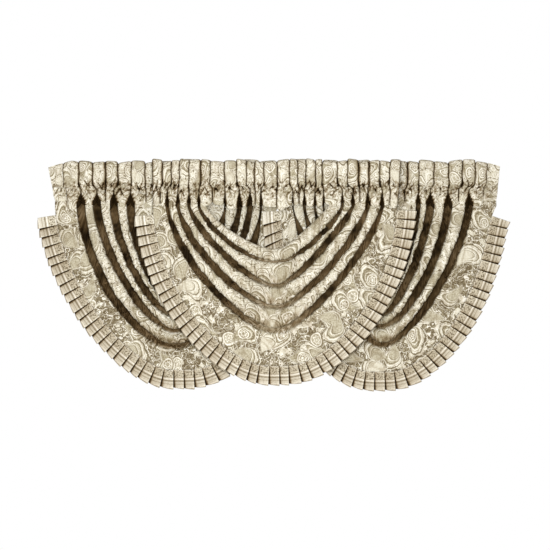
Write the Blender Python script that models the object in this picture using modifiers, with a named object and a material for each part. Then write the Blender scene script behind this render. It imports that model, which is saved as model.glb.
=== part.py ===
"""Swag valance set: three overlapping rod-pocket swags with knife-pleated trim.

The left and right swags share the back rod line and the centre swag hangs on a front line, so that it
lies over both. Each swag is three sewn pieces: a gathered header strip folded into a rod pocket, a draped
panel that hangs in crescent folds, and a pleated trim round the panel's curved edge.

Metres, +Z up, the room is on the -Y side. The origin is the middle of the set's top edge, on the front
rod line.
"""

import math
from collections import namedtuple

import bpy
import numpy as np

MM = 0.001

# Cloth and sewing
SHEET = 2.4 * MM  # cloth with its turned hems; a little less where it bends sharply
SEAM_GAP = 0.6 * MM  # left between the panel and the trim sewn to it
HANG_GAP = 1.0 * MM  # left between the header and the panel sewn under it
ROD_SPACING = 70.0 * MM  # from the front rod line back to the rear one

# Header strip, heights measured down from the top edge
STITCH_DROP = 110.0 * MM  # the row of stitching that closes the rod pocket
HEADER_DROP = 182.0 * MM  # the lower edge of the shirred band
POCKET_HALF = 14.0 * MM  # rod line to the pocket's front or back wall
SHOULDER_DROP = 12.0 * MM  # where the walls turn over the top
BAND_FRONT = 8.0 * MM  # how far the shirred band stands in front of the rod line
PINCH_FRONT = 6.0 * MM  # the same at the stitching, which pinches the gathers
GATHER_RISE = 3.5 * MM  # a gather's crest before its crease
CREASE_DIP = 6.0 * MM  # a crease's top below the crest's top
POCKET_SEAM = 5.0 * MM  # from the front layer back to the layer stitched to it
BACK_HEM = 14.0 * MM  # how far above the stitching the back layer starts to turn in to it
PINCHED = 0.5  # share of a gather that is left at the stitching
SHIRRED = 0.2  # share of a gather that is left at the band's lower edge
END_REACH = 90.0 * MM  # how far in from its ends the strip slopes and dips

# Draped panel
STEPS = 15  # equal steps along the trimmed seam; each fold has as many, and one more at each end
BELLY = 22.0 * MM  # how far the folds stand forward of the header
ROLL_BACK = 15.0 * MM  # how far the rolled top edge turns back
EDGE_START = 1.0 * MM  # where the rolled edge begins below the header
EDGE_SWELL = 4.0 * MM  # how far the roll's front row stands outside its back row
EDGE_SINK = 2.0 * MM  # how far back the roll's front row is
FLOOR_SHARE = 0.6  # a fold's floor, as a share of its mouth
FULL_OPEN = (0.14, 0.38)  # sine of the turn where a fold starts to open and where it is full
NEAR_LOW = 0.80  # sine of the turn where a fold starts to turn shallow
HEADER_DEPTH = 0.7  # a fold's depth at the header, as a share of its full depth
BORDER_SWELL = 4.0 * MM  # how far the flat border swells forward at the bottom
BELLY_TURN = 0.6 * math.pi  # the part of a sine wave that the belly follows down to the seam

# Pleated trim
TRIM_WIDTH = 75.0 * MM
PLEATS_PER_STEP = 3  # the pitch comes to about 35 mm
PLEAT_RISE = 3.5 * MM  # a pleat's folded edge before the one it covers
PLEAT_STEP = 3.0 * MM  # the step that each pleat makes in the outer edge
PLEAT_TURN = 0.86  # where along its pitch a pleat folds under

# A plain line of the drape, in millimetres: where it leaves the header on the left and on the right, its
# height at the bottom of the swag, how full each half is (1 is a straight V, 2 an ellipse), how far it swings
# out to each side at the header, and how fast that swing dies away.
Line = namedtuple(
    "Line", "left right low bow_left bow_right flare_left flare_right reach", defaults=(0, 0, 1)
)
# A dark fold between two rolls: its middle line, the width of its mouth at the header on each side, half way
# and at the bottom, and its depth at the sides and at the bottom.
Fold = namedtuple(
    "Fold", "left right low bow_left bow_right mouth_left mouth_right mouth mouth_low depth depth_low"
)
# A header's ends at the top and at the bottom, its creases, and how far its flat ends dip below the gathers.
Header = namedtuple("Header", "left right left_low right_low creases left_dip right_dip")
# tuck: how far a side edge is pushed back (or, below zero, forward).
# trim: where the trim starts below the header.
Swag = namedtuple("Swag", "name rod_y low_x edge folds seam tuck_left tuck_right trim_left trim_right header")

CENTRE = Swag(
    name="centre",
    rod_y=0.0,
    low_x=8,
    edge=Line(-262, 204, -346, 1.34, 1.10),
    folds=[
        Fold(-289, 256, -395, 1.42, 1.28, 12, 12, 20, 12, 40, 8),
        Fold(-327, 296, -486, 1.32, 1.18, 14, 14, 26, 18, 44, 16),
        Fold(-369, 353, -566, 1.40, 1.28, 14, 18, 28, 20, 45, 14),
        Fold(-410, 408, -655, 1.44, 1.30, 16, 16, 28, 24, 45, 12),
    ],
    seam=Line(-464, 464, -790, 1.74, 1.78),
    tuck_left=18,
    tuck_right=18,
    trim_left=34,
    trim_right=15,
    header=Header(
        -467, 479, -464, 466,
        [-428, -394, -362, -326, -282, -245, -193, -147, -108, -77, -43, 8,
         55, 86, 118, 154, 179, 236, 276, 318, 357, 398, 438],
        0, 0,
    ),
)  # fmt: skip
LEFT = Swag(
    name="left",
    rod_y=ROD_SPACING,
    low_x=-372,
    edge=Line(-466, -268, -395, 1.3, 1.3),
    folds=[
        Fold(-551, -190, -540, 1.60, 1.35, 34, 10, 32, 18, 45, 12),
        Fold(-616, -135, -600, 1.50, 1.35, 34, 20, 30, 18, 45, 14),
        Fold(-680, -95, -657, 1.46, 1.40, 34, 24, 30, 20, 45, 14),
        Fold(-741, -53, -716, 1.62, 1.50, 36, 10, 34, 24, 45, 12),
    ],
    seam=Line(-840, -12, -806, 1.60, 2.20, flare_right=31, reach=28),
    tuck_left=0,
    tuck_right=13,
    trim_left=34,
    trim_right=34,
    header=Header(
        -866, 4, -840, 18,
        [-811, -749, -696, -648, -601, -548, -496, -447, -398, -352, -298,
         -240, -180, -122, -60],
        33, 0,
    ),
)  # fmt: skip
RIGHT = Swag(
    name="right",
    rod_y=ROD_SPACING,
    low_x=407,
    edge=Line(228, 460, -395, 1.3, 1.3),
    folds=[
        Fold(185, 547, -540, 1.40, 1.40, 8, 20, 24, 18, 45, 12),
        Fold(152, 593, -596, 1.40, 1.34, 10, 34, 32, 18, 45, 12),
        Fold(112, 661, -640, 1.40, 1.44, 12, 34, 32, 20, 45, 14),
        Fold(68, 741, -712, 1.30, 1.40, 6, 32, 32, 24, 45, 12),
    ],
    seam=Line(23, 817, -813, 2.0, 1.78, flare_right=28, reach=48),
    tuck_left=-9,
    tuck_right=0,
    trim_left=18,
    trim_right=37,
    header=Header(
        7, 859, 22, 845,
        [66, 124, 182, 243, 302, 362, 420, 466, 506, 549, 608, 662, 716,
         765, 813],
        0, 28,
    ),
)  # fmt: skip
SWAGS = [LEFT, RIGHT, CENTRE]

# Base colour, roughness and metallic value of each piece's cloth
FINISHES = {
    "header": ((0.62, 0.55, 0.43, 1.0), 0.78, 0.0),
    "swag": ((0.60, 0.53, 0.41, 1.0), 0.75, 0.0),
    "trim": ((0.50, 0.43, 0.32, 1.0), 0.82, 0.0),
}


def smooth(t):
    """0 up to 0, 1 from 1 on, and a soft S between."""
    t = np.clip(t, 0.0, 1.0)
    return t * t * (3.0 - 2.0 * t)


def sweep(line, low_x, turns):
    """A drape line in the XZ plane at the angles `turns`, 0 on the left to pi on the right.

    Each half is a quarter of a superellipse: x runs in as cos(turn) ** (2 / bow) times the half width, and
    the drop below the header is sin(turn) ** (2 / bow) times the fall. Returns x and drop in metres.
    """
    to_left = turns <= math.pi / 2
    bow = np.where(to_left, line.bow_left, line.bow_right)
    half = np.where(to_left, line.left, line.right) - low_x
    fall = -line.low * MM - HEADER_DROP
    x = low_x + half * np.abs(np.cos(turns)) ** (2.0 / bow)
    drop = fall * np.abs(np.sin(turns)) ** (2.0 / bow)
    return x * MM, drop


def outward(x, z):
    """Unit normals of the path (x, z) in its own plane, on the side away from the swag's middle."""
    along = np.stack([np.gradient(x), np.gradient(z)], axis=1)
    along /= np.linalg.norm(along, axis=1, keepdims=True)
    return np.stack([along[:, 1], -along[:, 0]], axis=1)


def panel_rows(swag, turns):
    """The panel's rows from the rolled top edge to the seam: (x, z, sink), sink being how far back."""
    lowness = smooth((np.sin(turns) - NEAR_LOW) / (1.0 - NEAR_LOW))
    opened = smooth((np.sin(turns) - FULL_OPEN[0]) / (FULL_OPEN[1] - FULL_OPEN[0]))
    rows = []

    edge_x, edge_drop = sweep(swag.edge, swag.low_x, turns)
    edge_z = -HEADER_DROP - np.maximum(edge_drop, EDGE_START)
    rows.append((edge_x, edge_z, np.full_like(turns, ROLL_BACK)))
    push = outward(edge_x, edge_z) * EDGE_SWELL
    push[[0, -1], 1] = 0.0
    rows.append((edge_x + push[:, 0], edge_z + push[:, 1], np.full_like(turns, EDGE_SINK)))

    for fold in swag.folds:
        x, drop = sweep(fold, swag.low_x, turns)
        z = -HEADER_DROP - drop
        normal = outward(x, z)
        normal[[0, -1]] = [[-1.0, 0.0], [1.0, 0.0]]
        mouth_top = np.where(turns < math.pi / 2, fold.mouth_left, fold.mouth_right)
        mouth = (mouth_top + (fold.mouth - mouth_top) * opened) * (1.0 - lowness)
        mouth = (mouth + fold.mouth_low * lowness) * MM / 2
        depth = (fold.depth * (1.0 - lowness) + fold.depth_low * lowness) * MM
        depth = depth * (HEADER_DEPTH + (1.0 - HEADER_DEPTH) * opened)
        for reach, deep in ((-1.0, 0.0), (-FLOOR_SHARE, 1.0), (FLOOR_SHARE, 1.0), (1.0, 0.0)):
            step = normal * (reach * mouth)[:, None]
            height = np.minimum(z + step[:, 1], -HEADER_DROP - drop / 2)
            rows.append((x + step[:, 0], height, depth * deep))

    seam_x, seam_z = seam_path(swag, turns)
    last_x, last_z, flat = rows[-1]
    swell = -BORDER_SWELL * (1.0 - np.abs(np.cos(turns)))
    rows.append(((last_x + seam_x) / 2, (last_z + seam_z) / 2, swell))
    rows.append((seam_x, seam_z, flat))
    return rows


def seam_path(swag, turns):
    """The panel's curved outer edge in the XZ plane: its line, swung out by flare * exp(-drop / reach)."""
    x, drop = sweep(swag.seam, swag.low_x, turns)
    flare = np.where(turns < math.pi / 2, -swag.seam.flare_left, swag.seam.flare_right)
    return x + flare * MM * np.exp(-drop / (swag.seam.reach * MM)), -HEADER_DROP - drop


def stations(swag):
    """Angles of the panel's columns: equal steps along the trimmed seam, and one more at each header end."""
    turns = np.linspace(0.0, math.pi, 2001)
    x, z = seam_path(swag, turns)
    length = np.concatenate([[0.0], np.cumsum(np.hypot(np.diff(x), np.diff(z)))])
    half = len(turns) // 2
    start = np.interp(HEADER_DROP + swag.trim_left * MM, -z[: half + 1], length[: half + 1])
    end = np.interp(-HEADER_DROP - swag.trim_right * MM, z[half:], length[half:])
    inner = np.interp(np.linspace(start, end, STEPS + 1), length, turns)
    return np.concatenate([[0.0], inner, [math.pi]])


def front_of(swag, z):
    """Y of the front of the drape at height z: the shirred band's plane, with a belly that grows downward."""
    fall = -swag.seam.low * MM - HEADER_DROP
    share = (-HEADER_DROP - z) / fall
    return swag.rod_y - BAND_FRONT - BELLY * np.sin(BELLY_TURN * share)


def tucked(swag, turns, share):
    """How far back a row is pushed at its sides; share is 0 at the top edge and 1 at the seam."""
    push = np.where(turns < math.pi / 2, swag.tuck_left, swag.tuck_right) * MM
    return push * share**2 * np.cos(turns) ** 2


def sheet_object(name, grid, material):
    """One piece of cloth: the grid of points as an open surface, given its thickness by Solidify."""
    rows, columns, _ = grid.shape
    index = np.arange(rows * columns).reshape(rows, columns)
    corners = [index[:-1, :-1], index[:-1, 1:], index[1:, 1:], index[1:, :-1]]
    faces = np.stack(corners, axis=-1).reshape(-1, 4)
    mesh = bpy.data.meshes.new(name)
    mesh.from_pydata(grid.reshape(-1, 3).tolist(), [], faces.tolist())
    mesh.materials.append(material)
    piece = bpy.data.objects.new(name, mesh)
    bpy.data.collections["swag_valance_set"].objects.link(piece)
    thick = piece.modifiers.new("thickness", "SOLIDIFY")
    thick.thickness = SHEET
    thick.offset = 0.0
    return piece


def panel(swag, turns, material):
    """The draped panel: every row of the drape, placed in depth behind the belly of the swag."""
    rows = panel_rows(swag, turns)
    grid = np.zeros((len(rows), len(turns), 3))
    for number, (x, z, sink) in enumerate(rows):
        share = number / (len(rows) - 1)
        grid[number, :, 0] = x
        grid[number, :, 1] = front_of(swag, z) + sink + tucked(swag, turns, share)
        grid[number, :, 2] = z
    return sheet_object(f"{swag.name}_swag", grid, material)


def trim(swag, turns, material):
    """The knife-pleated trim: each pleat rises to its folded edge and covers the start of the next one."""
    seam_x, seam_z = seam_path(swag, turns)
    seam_y = front_of(swag, seam_z) + tucked(swag, turns, 1.0)
    normals = outward(seam_x, seam_z)
    places = []
    rises = []
    for number in range(STEPS * PLEATS_PER_STEP):
        places += [1.0 + number / PLEATS_PER_STEP, 1.0 + (number + PLEAT_TURN) / PLEATS_PER_STEP]
        rises += [0.0, 1.0]
    places = np.array(places + [1.0 + STEPS])
    rises = np.array(rises + [0.0])
    column = np.arange(len(turns))
    at = np.stack([np.interp(places, column, values) for values in (seam_x, seam_y, seam_z)], axis=1)
    way = np.stack([np.interp(places, column, normals[:, axis]) for axis in (0, 1)], axis=1)
    way /= np.linalg.norm(way, axis=1, keepdims=True)
    grid = np.zeros((2, len(places), 3))
    for row, reach in enumerate((np.full_like(places, SEAM_GAP), TRIM_WIDTH + PLEAT_STEP * (rises - 0.5))):
        grid[row, :, 0] = at[:, 0] + way[:, 0] * reach
        grid[row, :, 1] = at[:, 1] - PLEAT_RISE * rises
        grid[row, :, 2] = at[:, 2] + way[:, 1] * reach
    return sheet_object(f"{swag.name}_trim", grid, material)


def header(swag, material):
    """The header strip: up the front, over the top and down the back to the stitching, gathered on the rod.

    A column stands at each crease and at each crest between two creases. The strip's section runs through
    seven rows, and its ends slope in from the top to the panel's side edges below. An end that dips is left
    ungathered.
    """
    shape = swag.header
    stops = [shape.left] + list(shape.creases) + [shape.right]
    columns = []
    for number, (start, stop) in enumerate(zip(stops[:-1], stops[1:])):
        flat_end = (number == 0 and shape.left_dip) or (number == len(stops) - 2 and shape.right_dip)
        columns += [(start, 0.0), ((start + stop) / 2, 0.0 if flat_end else 1.0)]
    columns.append((shape.right, 0.0))
    place = np.array([column[0] for column in columns]) * MM
    crest = np.array([column[1] for column in columns])
    near_left = np.clip(1.0 - (place - place[0]) / END_REACH, 0.0, 1.0)
    near_right = np.clip(1.0 - (place[-1] - place) / END_REACH, 0.0, 1.0)
    swing = (shape.left_low - shape.left) * MM * near_left + (shape.right_low - shape.right) * MM * near_right
    dip = (shape.left_dip * near_left + shape.right_dip * near_right) * MM
    rise = GATHER_RISE * (2.0 * crest - 1.0)
    top_dip = CREASE_DIP * (1.0 - crest) + dip
    # front distance, gather's share and height of each row of the section
    section = [
        (BAND_FRONT, SHIRRED, -HEADER_DROP + HANG_GAP),
        (PINCH_FRONT, PINCHED, -STITCH_DROP),
        (POCKET_HALF, 1.0, -SHOULDER_DROP),
        (0.0, 0.0, -SHEET / 2),
        (-POCKET_HALF, -1.0, -SHOULDER_DROP),
        (-POCKET_HALF, -1.0, -STITCH_DROP + BACK_HEM),
        (PINCH_FRONT - POCKET_SEAM, PINCHED, -STITCH_DROP),
    ]
    grid = np.zeros((len(section), len(place), 3))
    for row, (front, share, height) in enumerate(section):
        at_top = -height < STITCH_DROP / 2
        drop = -height + top_dip * at_top
        grid[row, :, 0] = place + swing * drop / HEADER_DROP
        grid[row, :, 1] = swag.rod_y - front - rise * share
        grid[row, :, 2] = -drop
    return sheet_object(f"{swag.name}_header", grid, material)


def cloth_material(kind):
    """One piece's cloth as a plain Principled material."""
    colour, roughness, metallic = FINISHES[kind]
    material = bpy.data.materials.new(f"{kind}_cloth")
    material.use_nodes = True
    shader = material.node_tree.nodes["Principled BSDF"]
    shader.inputs["Base Color"].default_value = colour
    shader.inputs["Roughness"].default_value = roughness
    shader.inputs["Metallic"].default_value = metallic
    return material


def clear_scene():
    """Removes the objects that a new file starts with."""
    for thing in list(bpy.data.objects):
        bpy.data.objects.remove(thing, do_unlink=True)


def main():
    clear_scene()
    collection = bpy.data.collections.new("swag_valance_set")
    bpy.context.scene.collection.children.link(collection)
    for swag in SWAGS:
        turns = stations(swag)
        header(swag, cloth_material("header"))
        panel(swag, turns, cloth_material("swag"))
        trim(swag, turns, cloth_material("trim"))


main()
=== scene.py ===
# %% [markdown]
# # A set of three swag valances
#
# Three swag valances share a window. Each one is a gathered header strip, a panel that hangs in crescent
# folds and a knife-pleated trim round the panel's curved edge. The left and right swags hang on the rear
# rod line, and the centre swag hangs 70 mm in front of them.
#
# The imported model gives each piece's place and size as a coarse solid. This script makes the cloth itself
# on those solids: every surface is worked out as a grid of points, so a fold is a formula with a name and
# a size, and nothing depends on a simulation settling the same way twice.

# %% Set-up
import math
from collections import namedtuple

import bpy
import numpy as np
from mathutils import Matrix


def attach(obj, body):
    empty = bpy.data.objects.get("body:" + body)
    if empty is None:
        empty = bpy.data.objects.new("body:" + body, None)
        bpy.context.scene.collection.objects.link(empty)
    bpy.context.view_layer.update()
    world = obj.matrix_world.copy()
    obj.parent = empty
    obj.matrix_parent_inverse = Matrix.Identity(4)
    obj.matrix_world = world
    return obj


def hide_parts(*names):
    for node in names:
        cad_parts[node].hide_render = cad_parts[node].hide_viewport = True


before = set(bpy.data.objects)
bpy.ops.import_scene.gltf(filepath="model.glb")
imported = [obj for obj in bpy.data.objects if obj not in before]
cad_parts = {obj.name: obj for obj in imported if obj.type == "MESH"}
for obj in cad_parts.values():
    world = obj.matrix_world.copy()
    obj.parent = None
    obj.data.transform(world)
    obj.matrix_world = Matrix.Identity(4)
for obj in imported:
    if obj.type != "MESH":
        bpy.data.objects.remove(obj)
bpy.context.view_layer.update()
MM = 0.001
print("nodes in the frame:", sorted(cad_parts))

# %% [markdown]
# ## The lines of the drape
#
# A swag is ruled by a few curved lines that all hang from the header: its rolled top edge, the middle of
# each dark fold, and the seam where the trim is sewn on. Each line is two quarters of a superellipse, one
# to the left of the lowest point and one to the right. A superellipse needs only its two ends, its depth
# and one number for how full it is, where 1 is a straight V and 2 an ellipse. That is easier to read and
# to correct than a list of points.

# %% The drape's tables
ROD_SPACING = 70.0 * MM  # from the front rod line back to the rear one
HEADER_DROP = 182.0 * MM  # from the top down to the header's lower edge
BAND_FRONT = 8.0 * MM  # how far the cloth hangs in front of its rod line
BELLY = 22.0 * MM  # how far the folds stand forward of the header
BELLY_TURN = 0.6 * math.pi  # the part of a sine wave that the belly follows down to the seam
EDGE_START = 1.0 * MM  # where the rolled edge begins below the header
FULL_OPEN = (0.14, 0.38)  # sine of the turn where a fold starts to open and where it is full
NEAR_LOW = 0.80  # sine of the turn where a fold starts to turn shallow
LOW_ROUND = 13.0 * MM  # how softly a line turns at its lowest point
HEADER_DEPTH = 0.7  # a fold's depth at the header, as a share of its full depth

# All in millimetres. A line: its ends at the header, its lowest height, the fullness of each half, how far
# it swings out at each end and how fast that dies away.
Line = namedtuple(
    "Line", "left right low bow_left bow_right flare_left flare_right reach", defaults=(0, 0, 1)
)
# A fold: its middle line, its mouth's width at each end, half way and at the bottom, and its depths.
Fold = namedtuple(
    "Fold", "left right low bow_left bow_right mouth_left mouth_right mouth mouth_low depth depth_low"
)
# A header: its ends at the top and the bottom, its creases, and how far its flat ends dip.
Header = namedtuple("Header", "left right left_low right_low creases left_dip right_dip")
Swag = namedtuple("Swag", "name rod_y low_x edge folds seam tuck_left tuck_right trim_left trim_right header")

CENTRE = Swag(
    name="centre",
    rod_y=0.0,
    low_x=8,
    edge=Line(-262, 204, -346, 1.34, 1.10),
    folds=[
        Fold(-289, 256, -395, 1.42, 1.28, 12, 12, 20, 12, 40, 8),
        Fold(-327, 296, -486, 1.32, 1.18, 14, 14, 26, 18, 44, 16),
        Fold(-369, 353, -566, 1.40, 1.28, 14, 18, 28, 20, 45, 14),
        Fold(-410, 408, -655, 1.44, 1.30, 16, 16, 28, 24, 45, 12),
    ],
    seam=Line(-464, 464, -790, 1.74, 1.78),
    tuck_left=18,
    tuck_right=18,
    trim_left=34,
    trim_right=15,
    header=Header(
        -467, 479, -464, 466,
        [-428, -394, -362, -326, -282, -245, -193, -147, -108, -77, -43, 8,
         55, 86, 118, 154, 179, 236, 276, 318, 357, 398, 438],
        0, 0,
    ),
)
LEFT = Swag(
    name="left",
    rod_y=ROD_SPACING,
    low_x=-372,
    edge=Line(-466, -268, -395, 1.3, 1.3),
    folds=[
        Fold(-551, -190, -540, 1.60, 1.35, 34, 10, 32, 18, 45, 12),
        Fold(-616, -135, -600, 1.50, 1.35, 34, 20, 30, 18, 45, 14),
        Fold(-680, -95, -657, 1.46, 1.40, 34, 24, 30, 20, 45, 14),
        Fold(-741, -53, -716, 1.62, 1.50, 36, 10, 34, 24, 45, 12),
    ],
    seam=Line(-840, -12, -806, 1.60, 2.20, flare_right=31, reach=28),
    tuck_left=0,
    tuck_right=13,
    trim_left=34,
    trim_right=34,
    header=Header(
        -866, 4, -840, 18,
        [-811, -749, -696, -648, -601, -548, -496, -447, -398, -352, -298,
         -240, -180, -122, -60],
        33, 0,
    ),
)
RIGHT = Swag(
    name="right",
    rod_y=ROD_SPACING,
    low_x=407,
    edge=Line(228, 460, -395, 1.3, 1.3),
    folds=[
        Fold(185, 547, -540, 1.40, 1.40, 8, 20, 24, 18, 45, 12),
        Fold(152, 593, -596, 1.40, 1.34, 10, 34, 32, 18, 45, 12),
        Fold(112, 661, -640, 1.40, 1.44, 12, 34, 32, 20, 45, 14),
        Fold(68, 741, -712, 1.30, 1.40, 6, 32, 32, 24, 45, 12),
    ],
    seam=Line(23, 817, -813, 2.0, 1.78, flare_right=28, reach=48),
    tuck_left=-9,
    tuck_right=0,
    trim_left=18,
    trim_right=37,
    header=Header(
        7, 859, 22, 845,
        [66, 124, 182, 243, 302, 362, 420, 466, 506, 549, 608, 662, 716,
         765, 813],
        0, 28,
    ),
)
SWAGS = [LEFT, RIGHT, CENTRE]
print("swags:", [swag.name for swag in SWAGS], "folds in each:", [len(swag.folds) for swag in SWAGS])


# %% Helpers for lines and unevenness
def smooth(t):
    """0 up to 0, 1 from 1 on, and between them the soft S of 3 t squared minus 2 t cubed."""
    t = np.clip(t, 0.0, 1.0)
    return t * t * (3.0 - 2.0 * t)


def sweep(line, low_x, turns):
    """A drape line at the angles `turns`, 0 at the left end to pi at the right end, as x and drop in metres.

    x runs in from the end as cos(turn) to the power 2 / bow, and the drop below the header grows as
    sin(turn) to the same power, which is the superellipse of that fullness. The lowest point is rounded:
    the height above it becomes the root of its square plus the square of LOW_ROUND.
    """
    to_left = turns <= math.pi / 2
    bow = np.where(to_left, line.bow_left, line.bow_right)
    half = np.where(to_left, line.left, line.right) - low_x
    fall = -line.low * MM - HEADER_DROP + LOW_ROUND
    x = low_x + half * np.abs(np.cos(turns)) ** (2.0 / bow)
    above = fall - fall * np.abs(np.sin(turns)) ** (2.0 / bow)
    return x * MM, np.maximum(fall - np.hypot(above, LOW_ROUND), 0.0)


def seam_path(swag, turns):
    """The seam's x and z: its line, swung out by flare times exp(-drop / reach) at the header."""
    x, drop = sweep(swag.seam, swag.low_x, turns)
    flare = np.where(turns < math.pi / 2, -swag.seam.flare_left, swag.seam.flare_right)
    return x + flare * MM * np.exp(-drop / (swag.seam.reach * MM)), -HEADER_DROP - drop


def lengths(x, z):
    """Distance run along the path (x, z) up to each of its points."""
    return np.concatenate([[0.0], np.cumsum(np.hypot(np.diff(x), np.diff(z)))])


def outward(x, z):
    """Unit normals of a path in its own plane, on the side away from the swag's middle."""
    along = np.stack([np.gradient(x), np.gradient(z)], axis=1)
    along /= np.linalg.norm(along, axis=1, keepdims=True)
    return np.stack([along[:, 1], -along[:, 0]], axis=1)


def front_of(swag, z):
    """Y of the front of the drape at height z: the header's plane, with a belly that grows downward."""
    fall = -swag.seam.low * MM - HEADER_DROP
    return swag.rod_y - BAND_FRONT - BELLY * np.sin(BELLY_TURN * (-HEADER_DROP - z) / fall)


def lumps(a, b, size, seed, count=10):
    """Soft unevenness of about -1 to 1: a sum of sine waves about `size` long that cross at random angles."""
    draw = np.random.default_rng(seed)
    total = np.zeros(np.broadcast(a, b).shape)
    for angle, phase, stretch in draw.uniform(0.0, 1.0, (count, 3)):
        pull = 2.0 * math.pi / (size * (0.65 + stretch))
        heading = 2.0 * math.pi * angle
        total += np.sin(pull * (a * np.cos(heading) + b * np.sin(heading)) + 2.0 * math.pi * phase)
    return total / math.sqrt(2.0 * count)


def crumples(a, b, size, seed, width=0.22):
    """Sharp little creases, 0 to 1: 1 along the lines where a field of lumps passes through zero."""
    return np.exp(-((lumps(a, b, size, seed) / width) ** 2))


seam_length = lengths(*seam_path(CENTRE, np.linspace(0.0, math.pi, 999)))[-1]
print("the centre seam is", round(float(seam_length), 3), "m")

# %% [markdown]
# ## From a grid of points to cloth
#
# Each piece of cloth is a grid of points, row by row. Its UV map, "cloth", says where each point lies on the
# woven pattern, in metres. On a header and a trim that is the length run along and across the cloth. On a
# panel it is the place seen from the front, moved on in every fold by the cloth that the fold hides, because
# a length run along the rolls would shear the figures where the folds bunch up under the header.
#
# Two more values go with each point. The first is the shade painted into the cloth's colour, from 0 on a
# crest to 1 on a fold's floor: it follows how deep in a fold the point lies, and on the headers and trims it
# also holds the painted shade of creases and pleat edges. `inward` is its distance in from the trimmed seam.
# Solidify gives the sheet its thickness.

# %% Sheets from grids
CLOTH = 1.3 * MM  # two layers of light furnishing cloth
FAR_FROM_SEAM = 0.4  # what `inward` says on the headers and trims, in metres


def sheet_object(name, grid, flat, hollow, inward=FAR_FROM_SEAM, thickness=CLOTH):
    """A cloth piece from a grid of points (rows, columns, 3), with each point's place on the flat cloth."""
    rows, columns, _ = grid.shape
    index = np.arange(rows * columns).reshape(rows, columns)
    corners = [index[:-1, :-1], index[:-1, 1:], index[1:, 1:], index[1:, :-1]]
    faces = np.stack(corners, axis=-1).reshape(-1, 4)
    mesh = bpy.data.meshes.new(name)
    mesh.vertices.add(rows * columns)
    mesh.vertices.foreach_set("co", grid.astype(np.float32).ravel())
    mesh.loops.add(faces.size)
    mesh.loops.foreach_set("vertex_index", faces.astype(np.int32).ravel())
    mesh.polygons.add(len(faces))
    mesh.polygons.foreach_set("loop_start", np.arange(0, faces.size, 4, dtype=np.int32))
    mesh.polygons.foreach_set("use_smooth", np.ones(len(faces), dtype=bool))
    uv = mesh.uv_layers.new(name="cloth")
    uv.data.foreach_set("uv", flat.reshape(-1, 2)[faces.ravel()].astype(np.float32).ravel())
    hollow = np.clip(hollow, 0.0, 1.0)
    for title, values in (("hollow", hollow), ("inward", np.broadcast_to(inward, hollow.shape))):
        layer = mesh.attributes.new(title, "FLOAT", "POINT")
        layer.data.foreach_set("value", values.astype(np.float32).ravel())
    mesh.update(calc_edges=True)
    mesh.validate()
    piece = bpy.data.objects.new(name, mesh)
    bpy.context.scene.collection.objects.link(piece)
    thick = piece.modifiers.new("thickness", "SOLIDIFY")
    thick.thickness = thickness
    thick.offset = 0.0
    return piece


def runs(grid):
    """Each point's distance along its row from the middle column, and across the rows from the last one."""
    steps = np.linalg.norm(np.diff(grid, axis=1), axis=2)
    along = np.concatenate([np.zeros((grid.shape[0], 1)), np.cumsum(steps, axis=1)], axis=1)
    along -= along[:, grid.shape[1] // 2][:, None]
    rises = np.linalg.norm(np.diff(grid, axis=0), axis=2)
    across = np.concatenate([np.zeros((1, grid.shape[1])), np.cumsum(rises, axis=0)], axis=0)
    return along, across[-1] - across


print("cloth thickness:", round(CLOTH * 1000, 2), "mm")

# %% [markdown]
# ## The draped panel
#
# A real swag panel is a wide cloth whose two sides are bunched up along the header, so that the cloth hangs
# in crescents: fat soft rolls with deep, dark folds between them. Across the drape it is a row of half
# circles and slots, which a formula gives exactly. Every column of the grid crosses all the rolls and
# folds, and every row follows one line of the drape from header to header. First come the lines that part
# the rolls from the folds.

# %% Lines between rolls and folds
PANEL_COLUMNS = 385
PANEL_SEED = 1000  # the first panel's seed, and the step from one panel's to the next
SOFT_OPEN = (0.05, 0.40)  # sine of the turn where a roll starts to fill out and where it is full
# The sides of a fold's mouth wander: how far in millimetres, over what length in metres, and a seed each
Wander = namedtuple("Wander", "far length seed")
WANDERS = [Wander(2.2, 0.13, 0), Wander(1.6, 0.035, 50), Wander(1.3, 0.015, 70)]


def even_turns(swag, count):
    """Angles of `count` columns at equal steps along the seam, and the length run up to each."""
    turns = np.linspace(0.0, math.pi, 4001)
    along = lengths(*seam_path(swag, turns))
    steps = np.linspace(0.0, along[-1], count)
    return np.interp(steps, along, turns), steps


def between(turns, start, full):
    """0 where the sine of the turn is below `start`, 1 where it is above `full`, and a soft S between."""
    return smooth((np.sin(turns) - start) / (full - start))


def drape_lines(swag, turns, along, seed):
    """The lines that bound rolls and folds: the top edge, both sides of each mouth, then the seam.

    A mouth's sides lie half its width to each side of the fold's line, plus a slow wander of their own.
    """
    low, opened = between(turns, NEAR_LOW, 1.0), between(turns, *FULL_OPEN)
    edge_x, edge_drop = sweep(swag.edge, swag.low_x, turns)
    lines = [np.stack([edge_x, -HEADER_DROP - np.maximum(edge_drop, EDGE_START)], axis=1)]
    for number, fold in enumerate(swag.folds):
        x, drop = sweep(fold, swag.low_x, turns)
        z = -HEADER_DROP - drop
        normal = outward(x, z)
        normal[[0, -1]] = [[-1.0, 0.0], [1.0, 0.0]]
        top = np.where(turns < math.pi / 2, fold.mouth_left, fold.mouth_right)
        mouth = (top + (fold.mouth - top) * opened) * (1.0 - low) + fold.mouth_low * low
        for side in (-1, 1):
            own = seed + 10 * number + side
            wander = sum(one.far * lumps(along, 0.0, one.length, own + one.seed) for one in WANDERS)
            push = MM * (side * mouth / 2 + opened * wander)
            height = np.minimum(z + normal[:, 1] * push, -HEADER_DROP - drop / 2)
            lines.append(np.stack([x + normal[:, 0] * push, height], axis=1))
    lines.append(np.stack(seam_path(swag, turns), axis=1))
    return lines


turns, along = even_turns(CENTRE, PANEL_COLUMNS)
print("lines across the centre panel:", len(drape_lines(CENTRE, turns, along, PANEL_SEED)))

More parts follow.
